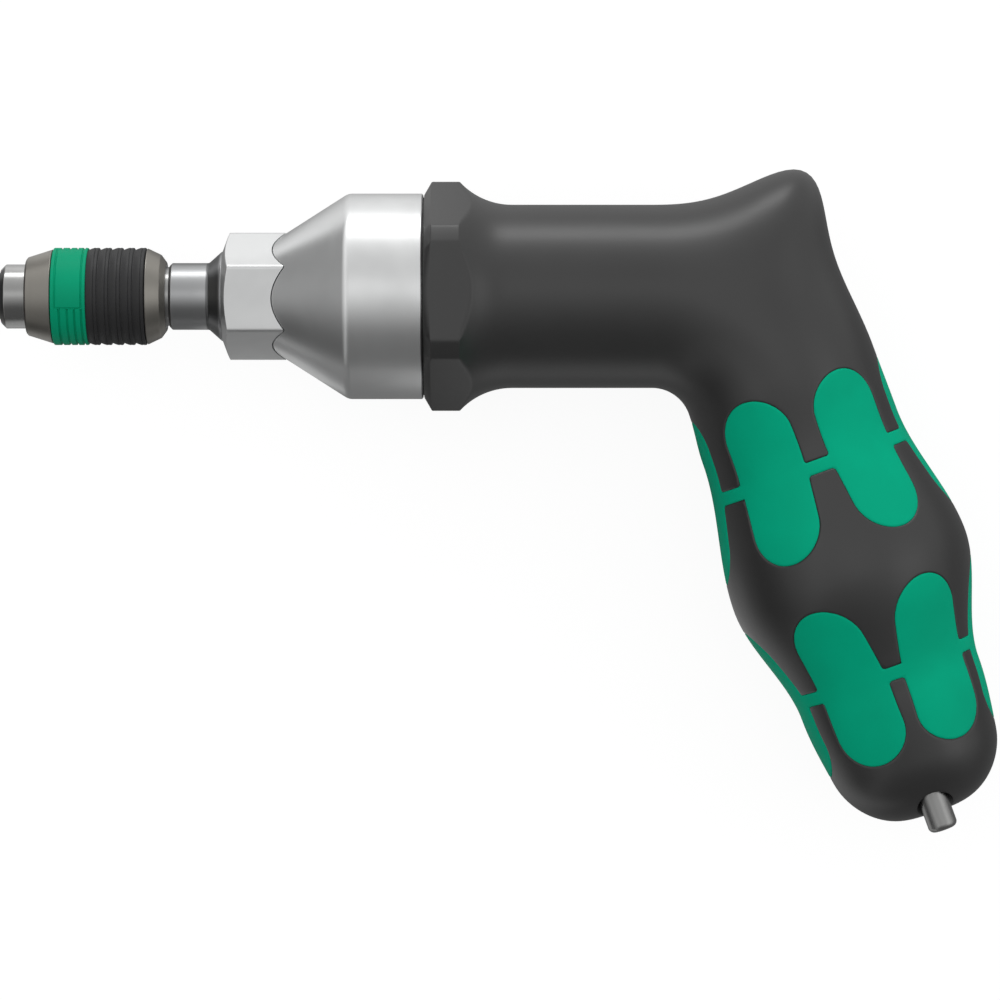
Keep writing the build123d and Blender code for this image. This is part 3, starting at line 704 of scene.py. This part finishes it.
def coil(name, low, high, radius, wire, turns, first, last):
    """Round wire along a helix between two stations. first and last say which share of its length is made."""
    steps = round(steps_a_turn * turns * (last - first))
    rings, middles = [], []
    for step in range(steps + 1):
        share = first + (last - first) * step / steps
        turn, x = 2 * pi * turns * share, low + wire / 2 + (high - low - wire) * share
        spokes = [(radius + wire / 2 * cos(angle), x + wire / 2 * sin(angle)) for angle in even_angles(sides_of_wire)]
        rings.append([(along, reach * cos(turn), reach * sin(turn)) for reach, along in spokes])
        middles.append([(x, radius * cos(turn), radius * sin(turn))])
    return mesh_of_rings(name, [middles[0], *rings, middles[-1]])


for name, node, radius, wire, turns, first, last, body, other in (
        ("return_coil", "sleeve_spring", 5.35, 0.5, 5, 0.0, 1.0, "head", "release_sleeve"),
        ("clutch_coil_front", "clutch_spring", 8.6, 2.2, 5.5, 0.0, 0.5, "clutch_plate", "handle"),
        ("clutch_coil_rear", "clutch_spring", 8.6, 2.2, 5.5, 0.5, 1.0, "handle", "adjusting_nut")):
    low, high = [corner.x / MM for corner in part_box(node)]
    finish_piece(coil(name, low, high, radius, wire, turns, first, last), body, spring_steel, [node],
                 until=(other, low + (high - low) * first, low + (high - low) * last))

# %% [markdown]
# ## The handle
#
# The handle is one moulding: a hexagonal collar, a round barrel, a horn over the hand and a tilted grip.
# Its shape follows the hand, so it is a stack of cross-sections that turn round the inner corner.
# Each section is half an ellipse towards that corner and half an ellipse away from it.
# Subdivision from a coarse cage would be softer than the real part, so the sections are dense and exact.

# %% Where the sections lie
corner = Vector((99.6, -20.0, 0))
corner_radius, turn_angle, grip_length, butt_rounding = 6.0, 70.0, 69.9, 9.0
barrel_radius, grip_top, depth_share = 14.0, 15.0, 0.95
grip_centre = corner_radius + grip_top
horn_angle, horn_height, horn_width = 31.0, 10.7, 12.2
palm_side = [(0.0, grip_top), (10.0, 15.1), (31.0, 18.6), (50.0, 13.9), (grip_length, 11.9)]
finger_side = [(0.0, grip_top), (8.0, 15.6), (31.0, 18.85), (50.0, 14.75), (grip_length, 12.6)]


def ease(start, end, share):
    """Ease from start to end with level tangents at both."""
    share = min(max(share, 0.0), 1.0)
    return start + (end - start) * share * share * (3 - 2 * share)


def grip_width(down, side):
    """Grip's width from its axis to one side, at a distance down that axis."""
    for (near, near_width), (far, far_width) in zip(side, side[1:]):
        if down < far:
            return ease(near_width, far_width, (down - near) / (far - near))
    return far_width


def horn_rise(angle):
    """Height of the horn over the round barrel at an angle round the inner corner."""
    span = horn_angle if angle < horn_angle else turn_angle - horn_angle
    offset = (angle - horn_angle) / span
    return horn_height * (1 - offset * offset) ** 2 / (1 + ((angle - horn_angle) / horn_width) ** 2)


def directions(angle):
    """Directions away from the inner corner and along the handle, at an angle round that corner."""
    turned_by = radians(angle)
    return Vector((sin(turned_by), cos(turned_by), 0)), Vector((cos(turned_by), -sin(turned_by), 0))


def section(angles, angle, along, centre, inner, outer, depth):
    """One ring of the handle: two half ellipses round a centre on the plane at angle and along."""
    outward, ahead = directions(angle)
    middle = corner + outward * centre + ahead * along
    return [tuple(middle + outward * cos(turn) * (outer if cos(turn) > 0 else inner) +
                  Vector((0, 0, sin(turn) * depth))) for turn in angles]


for down, palm in palm_side:
    print("grip's width in mm,", down, "down its axis:", round(palm + grip_width(down, finger_side), 1))

# %% Rings of the collar and barrel
collar_flat, collar_tip, collar_softness = 15.85, 17.5, 0.12
collar_front, bore_radius, bore_rear = 64.66, 12.5, 98.03
handle_angles = sides(90.0, (0, 3, 6, 9, 12, 15, 18, 21, 23.4, 24.4, 25.08, 25.8, 26.8, 28.4, 30))
blend_end, arc_radius = 78.2, 10.88
blend = [(blend_end - arc_radius * sin(radians(turn)), barrel_radius + arc_radius * (1 - cos(radians(turn))))
         for turn in (42, 40, 38, 36, 34, 32, 30, 28, 26, 24, 22, 19, 16, 13, 10, 7, 4, 0)]
outline = rounded([(bore_rear, bore_radius, 0), (collar_front, bore_radius, 0.03), (collar_front, 15.1, 0.06),
                   (64.8, 15.1, 0), (64.8, 15.5, 0.25), (65.95, collar_tip, 0.3), (70.2, collar_tip, 0.3),
                   (70.75, 16.95, 0.12)] + [(x, r, 0) for x, r in blend])


def denser(path, low, high, step):
    """Path with extra points where x lies between low and high, no further apart than step."""
    result = [path[0]]
    for (x0, r0), (x1, r1) in zip(path, path[1:]):
        if low <= min(x0, x1) and max(x0, x1) <= high:
            count = max(1, round(abs(x1 - x0) / step))
            result += [(x0 + (x1 - x0) * number / count, r0 + (r1 - r0) * number / count)
                       for number in range(1, count)]
        result.append((x1, r1))
    return result


def collar_rule(x, r, angle):
    """Radius of the turned outline, cut by the collar's six flats."""
    return soft_min(r, collar_flat / cos(hexagon_offset(angle, pi / 2)), collar_softness) if r > grip_top else r


collar_path = denser(outline, low=64.9, high=blend_end, step=0.14)
rings = [[(bore_rear, 0.0, 0.0)]]
for x, r in collar_path + [(x, barrel_radius) for x in spread(79.6, 93.6, 9)]:
    rings.append(ring_of(handle_angles, lambda angle: (x, collar_rule(x, r, angle))))
print("rings of the collar and barrel:", len(rings))

# %% Rings of the horn, grip and butt
for along in (-6.0, -4.5, -3.0, -1.5):
    rings.append(section(handle_angles, 0, along, corner_radius + barrel_radius,
                         barrel_radius, barrel_radius, barrel_radius))
fan_steps = 56
for step in range(fan_steps):
    angle = turn_angle * step / fan_steps
    radius = ease(barrel_radius, grip_top, step / fan_steps)
    rings.append(section(handle_angles, angle, 0, corner_radius + radius, radius, radius + horn_rise(angle), radius))
levels = {"upper": 14.0, "lower": 47.1}
bar_width, seam, edge_width = 2.0, 0.05, 0.3
at_bars = [level + side * (bar_width / 2 + step) for level in levels.values() for side in (-1, 1)
           for step in (-edge_width, -edge_width / 2, 0, seam, seam + edge_width / 2, seam + edge_width)]
straight = grip_length - butt_rounding
grip_steps, butt_steps, least_step = 68, 22, 0.3
downs = [down for down in spread(0, straight, grip_steps)
         if min(abs(down - place) for place in at_bars) > least_step]
arcs = [(down, 0.0) for down in sorted(downs + at_bars)]
for step in range(butt_steps + 1):
    turned_by = radians(90 * step / butt_steps)
    arcs.append((straight + butt_rounding * sin(turned_by), butt_rounding * (1 - cos(turned_by))))
for down, inset in arcs:
    palm, fingers = grip_width(down, palm_side), grip_width(down, finger_side)
    rings.append(section(handle_angles, turn_angle, down, grip_centre, fingers - inset, palm - inset,
                         palm * ease(1, depth_share, down / 10) - inset))
outward, ahead = directions(turn_angle)
rings.append([tuple(corner + outward * grip_centre + ahead * grip_length)])
handle = mesh_of_rings("handle_shell", rings)
print("handle rings:", len(rings), "faces:", len(handle.data.polygons))

# %% [markdown]
# ## Soft zones in the grip
#
# The grip has two rings of soft green ovals, joined by a narrow bar, set flush into the hard black shell.
# Cutting them with a Boolean leaves ragged edges on such a dense mesh.
# Instead every point gets its distance to the ovals' outline, and the mesh is cut along lines of equal distance.
# The lines give a clean seam: both sides dip a little, and the shell drops into a pocket under the soft part.
# A layer keeps its numbers less exactly than Python does, so points on a line are told by a small margin.

# %% Distance to the ovals' outline
zone_width, zone_length, zone_count = 11.0, 25.2, 6
far_off = 50.0


def grip_place(point):
    """Coordinates of a point on the grip in mm: down its axis, away from the corner, and up."""
    local = Vector(point) / MM - corner
    return local.dot(ahead), local.dot(outward) - grip_centre, local.z


def zone_distance(point):
    """Distance in mm to the nearest soft zone's outline, below zero inside it."""
    down, out, up = grip_place(point)
    nearest = far_off
    for level in levels.values():
        along = down - level
        nearest = min(nearest, abs(along) - bar_width / 2)
        for turn in even_angles(zone_count):
            facing, aside = cos(turn), sin(turn)
            if out * facing + up * aside > 0:
                side = up * facing - out * aside
                beyond = max(abs(along) - (zone_length - zone_width) / 2, 0.0)
                nearest = min(nearest, hypot(beyond, side) - zone_width / 2)
    return nearest


# %% Cut a mesh along a line of equal distance
snap, margin = 2e-4, 1e-4


def cut_along(made, layer, level):
    """Split edges where the layer's value passes a level, then cut from each face the points above the level."""
    for vert in made.verts:
        if abs(vert[layer] - level) <= snap:
            vert[layer] = level
    for edge in list(made.edges):
        first, second = edge.verts
        below, above = first[layer] - level, second[layer] - level
        if below * above < 0 and min(abs(below), abs(above)) > margin:
            fresh = bmesh.utils.edge_split(edge, first, below / (below - above))[1]
            fresh[layer] = level
    waiting = list(made.faces)
    while waiting:
        face = waiting.pop()
        corners = list(face.verts)
        heights = [corner[layer] - level for corner in corners]
        if min(heights) < -margin and max(heights) > margin:
            first = next(spot for spot in range(len(corners)) if heights[spot] > margin >= heights[spot - 1])
            last = first
            while heights[(last + 1) % len(corners)] > margin:
                last += 1
            part = bmesh.utils.face_split(face, corners[first - 1], corners[(last + 1) % len(corners)])[0]
            waiting += [face, part]


def edge_dip(distance, width, depth):
    """How far a rounded edge has sunk, from 0 at width before its line to depth on the line."""
    share = min(max((distance + width) / width, 0.0), 1.0)
    return depth * (1 - sqrt(1 - share * share))


# %% Cut the handle
edge_depth, zones_from = 0.12, -3.0
key_out, key_up, mouth_radius, mouth_edge, mouth_dip, mouth_margin = -0.5, 6.7, 2.85, 0.3, 0.2, 0.01
made = bmesh.new()
made.from_mesh(handle.data)
distance = made.verts.layers.float.new("distance")
mouth = made.verts.layers.float.new("mouth")
for vert in made.verts:
    down, out, up = grip_place(vert.co)
    vert[distance] = zone_distance(vert.co) if down > zones_from else far_off
    vert[mouth] = hypot(out - key_out, up - key_up) - mouth_radius if down > straight else far_off
for level in (-edge_width, -edge_width / 2, 0.0, seam, seam + edge_width / 2, seam + edge_width):
    cut_along(made, distance, level)
for level in (0.0, mouth_edge / 3, mouth_edge):
    cut_along(made, mouth, level)
made.normal_update()
lowered = 0
for vert in made.verts:
    gap = vert[distance]
    if gap <= 0:
        dip = edge_dip(gap, edge_width, edge_depth)
    elif gap < seam + edge_width:
        dip = edge_dip(seam - gap, edge_width, edge_depth)
    else:
        dip = edge_dip(-vert[mouth], mouth_edge, mouth_dip)
    if dip > 0 and vert[mouth] > -mouth_margin:
        vert.co -= vert.normal * dip * MM
        lowered += 1
print("faces after the cut:", len(made.faces), "points lowered at the seams and the mouth:", lowered)

# %% Soft pieces, each with its own thickness
def sink(made, faces, depth):
    """Extrude faces and move the new ones inwards by a depth in millimetres."""
    for vert in points_of(bmesh.ops.extrude_face_region(made, geom=faces)["geom"]):
        vert.co -= vert.normal * depth * MM


soft_depth = 1.2
for name, level in levels.items():
    soft = made.copy()
    layer = soft.verts.layers.float["distance"]
    keep = {face for face in soft.faces if all(vert[layer] <= snap for vert in face.verts)
            and abs(grip_place(face.calc_center_median())[0] - level) < zone_length / 2 + 1}
    bmesh.ops.delete(soft, geom=[face for face in soft.faces if face not in keep], context="FACES")
    soft.normal_update()
    sink(soft, list(soft.faces), soft_depth)
    bmesh.ops.recalc_face_normals(soft, faces=soft.faces)
    mesh = bpy.data.meshes.new(f"{name}_soft_zone")
    soft.to_mesh(mesh)
    soft.free()
    finish_piece(add_object(f"{name}_soft_grip", mesh), "handle", green_soft, [f"{name}_soft_zone"], 50)

# %% Pockets in the shell
pocket_depth = 1.3
pocket = [face for face in made.faces if all(vert[distance] <= seam + snap for vert in face.verts)]
sink(made, pocket, pocket_depth)
bmesh.ops.delete(made, geom=[face for face in pocket if face.is_valid], context="FACES")
print("faces sunk into pockets:", len(pocket))

# %% Hole for the parked key
key_radius, key_step, key_top = 2.5, 64.0, -6.0
key_foot = corner + outward * (grip_centre + key_out) + Vector((0, 0, key_up))
bmesh.ops.delete(made, geom=[face for face in made.faces if all(vert[mouth] <= snap for vert in face.verts)],
                 context="FACES")
rim = [edge for edge in made.edges if edge.is_boundary]
print("points round the key's mouth:", len(rim))
for down, radius in ((key_step, mouth_radius), (key_step, key_radius), (key_top, key_radius)):
    grown = bmesh.ops.extrude_edge_only(made, edges=rim)["geom"]
    rim = [item for item in grown if isinstance(item, bmesh.types.BMEdge) and item.is_boundary]
    for vert in {vert for edge in rim for vert in edge.verts}:
        spoke = vert.co / MM - key_foot
        spoke = (spoke - ahead * spoke.dot(ahead)).normalized() * radius
        vert.co = (key_foot + ahead * down + spoke) * MM
bmesh.ops.holes_fill(made, edges=rim, sides=0)
bmesh.ops.recalc_face_normals(made, faces=made.faces)
print("open edges left:", sum(edge.is_boundary for edge in made.edges))
made.to_mesh(handle.data)
made.free()
finish_piece(handle, "handle", black_plastic, ["grip_shell"], 50)

# %% [markdown]
# ## Floor and light
#
# The photograph was taken in a light tent: white all round, a broad soft light from above the tool in the
# picture, and less from below it. The floor is a plain sheet, which the camera sees nearly white.
# What the metal mirrors is bright and dark by turns, as card and gaps round a real set make it.
# Lamps and cards could be built for that, but each would have to be hidden from the other views.
# So soft-edged patches of light are worked out in two shaders, by place on the floor and by direction in the tent.

# %% Light with soft edges
def glow(strength, *edges):
    """Light of a strength where each value has passed from its dark mark to its bright one."""
    for value, dark, bright in edges:
        strength = value.step(dark, bright) * strength
    return strength


# %% Floor
floor_gap, floor_reach = 0.1, 1500
floor_level = cad_low.z - floor_gap * MM
floor_mesh = bpy.data.meshes.new("floor")
floor_mesh.from_pydata([(x * floor_reach * MM, y * floor_reach * MM, floor_level)
                        for x, y in ((-1, -1), (1, -1), (1, 1), (-1, 1))], [], [(0, 1, 2, 3)])
floor = add_object("floor", floor_mesh)
paper = Finish("paper", roughness=0.9, specular_ior_level=0.1, emission_strength=1.0)
ray = {kind: paper.node("ShaderNodeLightPath", output=f"Is {kind} Ray")
       for kind in ("Camera", "Glossy", "Transmission")}
floor_x, floor_y = [paper.node("ShaderNodeSeparateXYZ", {}, {0: paper.place()}, output=axis) for axis in range(2)]
cloud = paper.noise(paper.place(), 0.02).step(0.4, 0.6)
seen_glow, seen_paper, paper_low, paper_high = 0.92, 0.14, 0.40, 0.43
mirrored = 0.04
for strength, *edges in (
        (0.78, (floor_y, 8, 45), (floor_x, -60, 0)),
        (-0.312, (floor_y, 8, 45), (floor_x, 62, 78)),
        (0.18, (floor_x, -60, 10)),
        (0.5, (floor_x, 55, 75), (floor_x, 130, 110), (floor_y, -35, -60)),
        (0.5, (floor_x, -12, -6), (floor_x, 6, 3), (floor_y, 0, 12)),
        (0.5, (floor_x, -12, -6), (floor_x, 6, 3), (floor_y, -6, -18)),
        (0.4, (floor_x, 27, 32), (floor_x, 47, 44), (floor_y, -32, -28), (floor_y, -11, -16))):
    mirrored = glow(strength, *edges) + mirrored
lit_paper = paper.mix(cloud, grey(paper_low), grey(paper_high))
paper.link(
    base_color=paper.mix(ray["Glossy"], paper.mix(ray["Camera"], lit_paper, grey(seen_paper)), grey(0.0)),
    emission_color=ray["Camera"] * seen_glow + (ray["Glossy"] + ray["Transmission"]) * mirrored,
)
floor_mesh.materials.append(paper.material)
floor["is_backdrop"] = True
print("floor level in mm:", round(floor_level / MM, 2), "nodes in its shader:", len(paper.tree.nodes))

# %% World: light by direction, and white for the camera
world = bpy.data.worlds.new("tent")
bpy.context.scene.world = world
tent = Nodes(world)
direction = tent.node("ShaderNodeTexCoord", output="Generated")
side_x, side_y, side_z = [tent.node("ShaderNodeSeparateXYZ", {}, {0: direction}, output=axis) for axis in range(3)]
noseward = 0 - side_x
upper_side = glow(0.58, (side_y, -0.75, 0.0)) + glow(0.25, (side_y, 0.5, 1.0)) + 0.16
low_end = glow(0.95, (side_x * side_x * (1 - side_z) * noseward.step(-0.05, 0.05), 0.2, 0.8))
strip = glow(0.5, (noseward, 0.40, 0.48), (noseward, 0.68, 0.56))
rear = glow(0.7, (side_x, 0.55, 0.7), (side_x, 0.95, 0.85), (side_y * side_y, 0.15, 0.03))
overhead = glow(0.4, (side_z, 0.92, 0.99), (side_y, -0.15, 0.05))
tent_light = upper_side * (1 - low_end) + strip + rear + overhead
light_path = tent.node("ShaderNodeLightPath", output="Is Camera Ray")
soft_light = tent.node("ShaderNodeBackground", {}, {"Color": (1, 1, 1, 1), "Strength": tent_light})
white = tent.node("ShaderNodeBackground", {}, {"Color": (1, 1, 1, 1), "Strength": 1.0})
both = tent.node("ShaderNodeMixShader", {}, {0: light_path, 1: soft_light, 2: white})
tent.tree.links.new(both.socket, tent.tree.nodes.new("ShaderNodeOutputWorld").inputs["Surface"])
print("nodes in the tent's shader:", len(tent.tree.nodes))

# %% One lamp above the tool in the picture
light = bpy.data.lights.new("upper_light", "AREA")
light.shape = "RECTANGLE"
light.size, light.size_y = 600 * MM, 220 * MM
light.energy = 1.5
lamp = add_object("upper_light", light)
lamp.location = (50 * MM, 750 * MM, 100 * MM)
lamp.rotation_euler = ((cad_low + cad_high) / 2 - lamp.location).to_track_quat("-Z", "Y").to_euler()
bpy.context.scene.view_settings.view_transform = "Standard"
print("lamp in mm:", [round(v / MM) for v in lamp.location], "power in watts:", light.energy)

# %% Sizes and the end
low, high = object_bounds()
print("visual box in mm:", [round(v / MM, 2) for v in (*low, *high)])
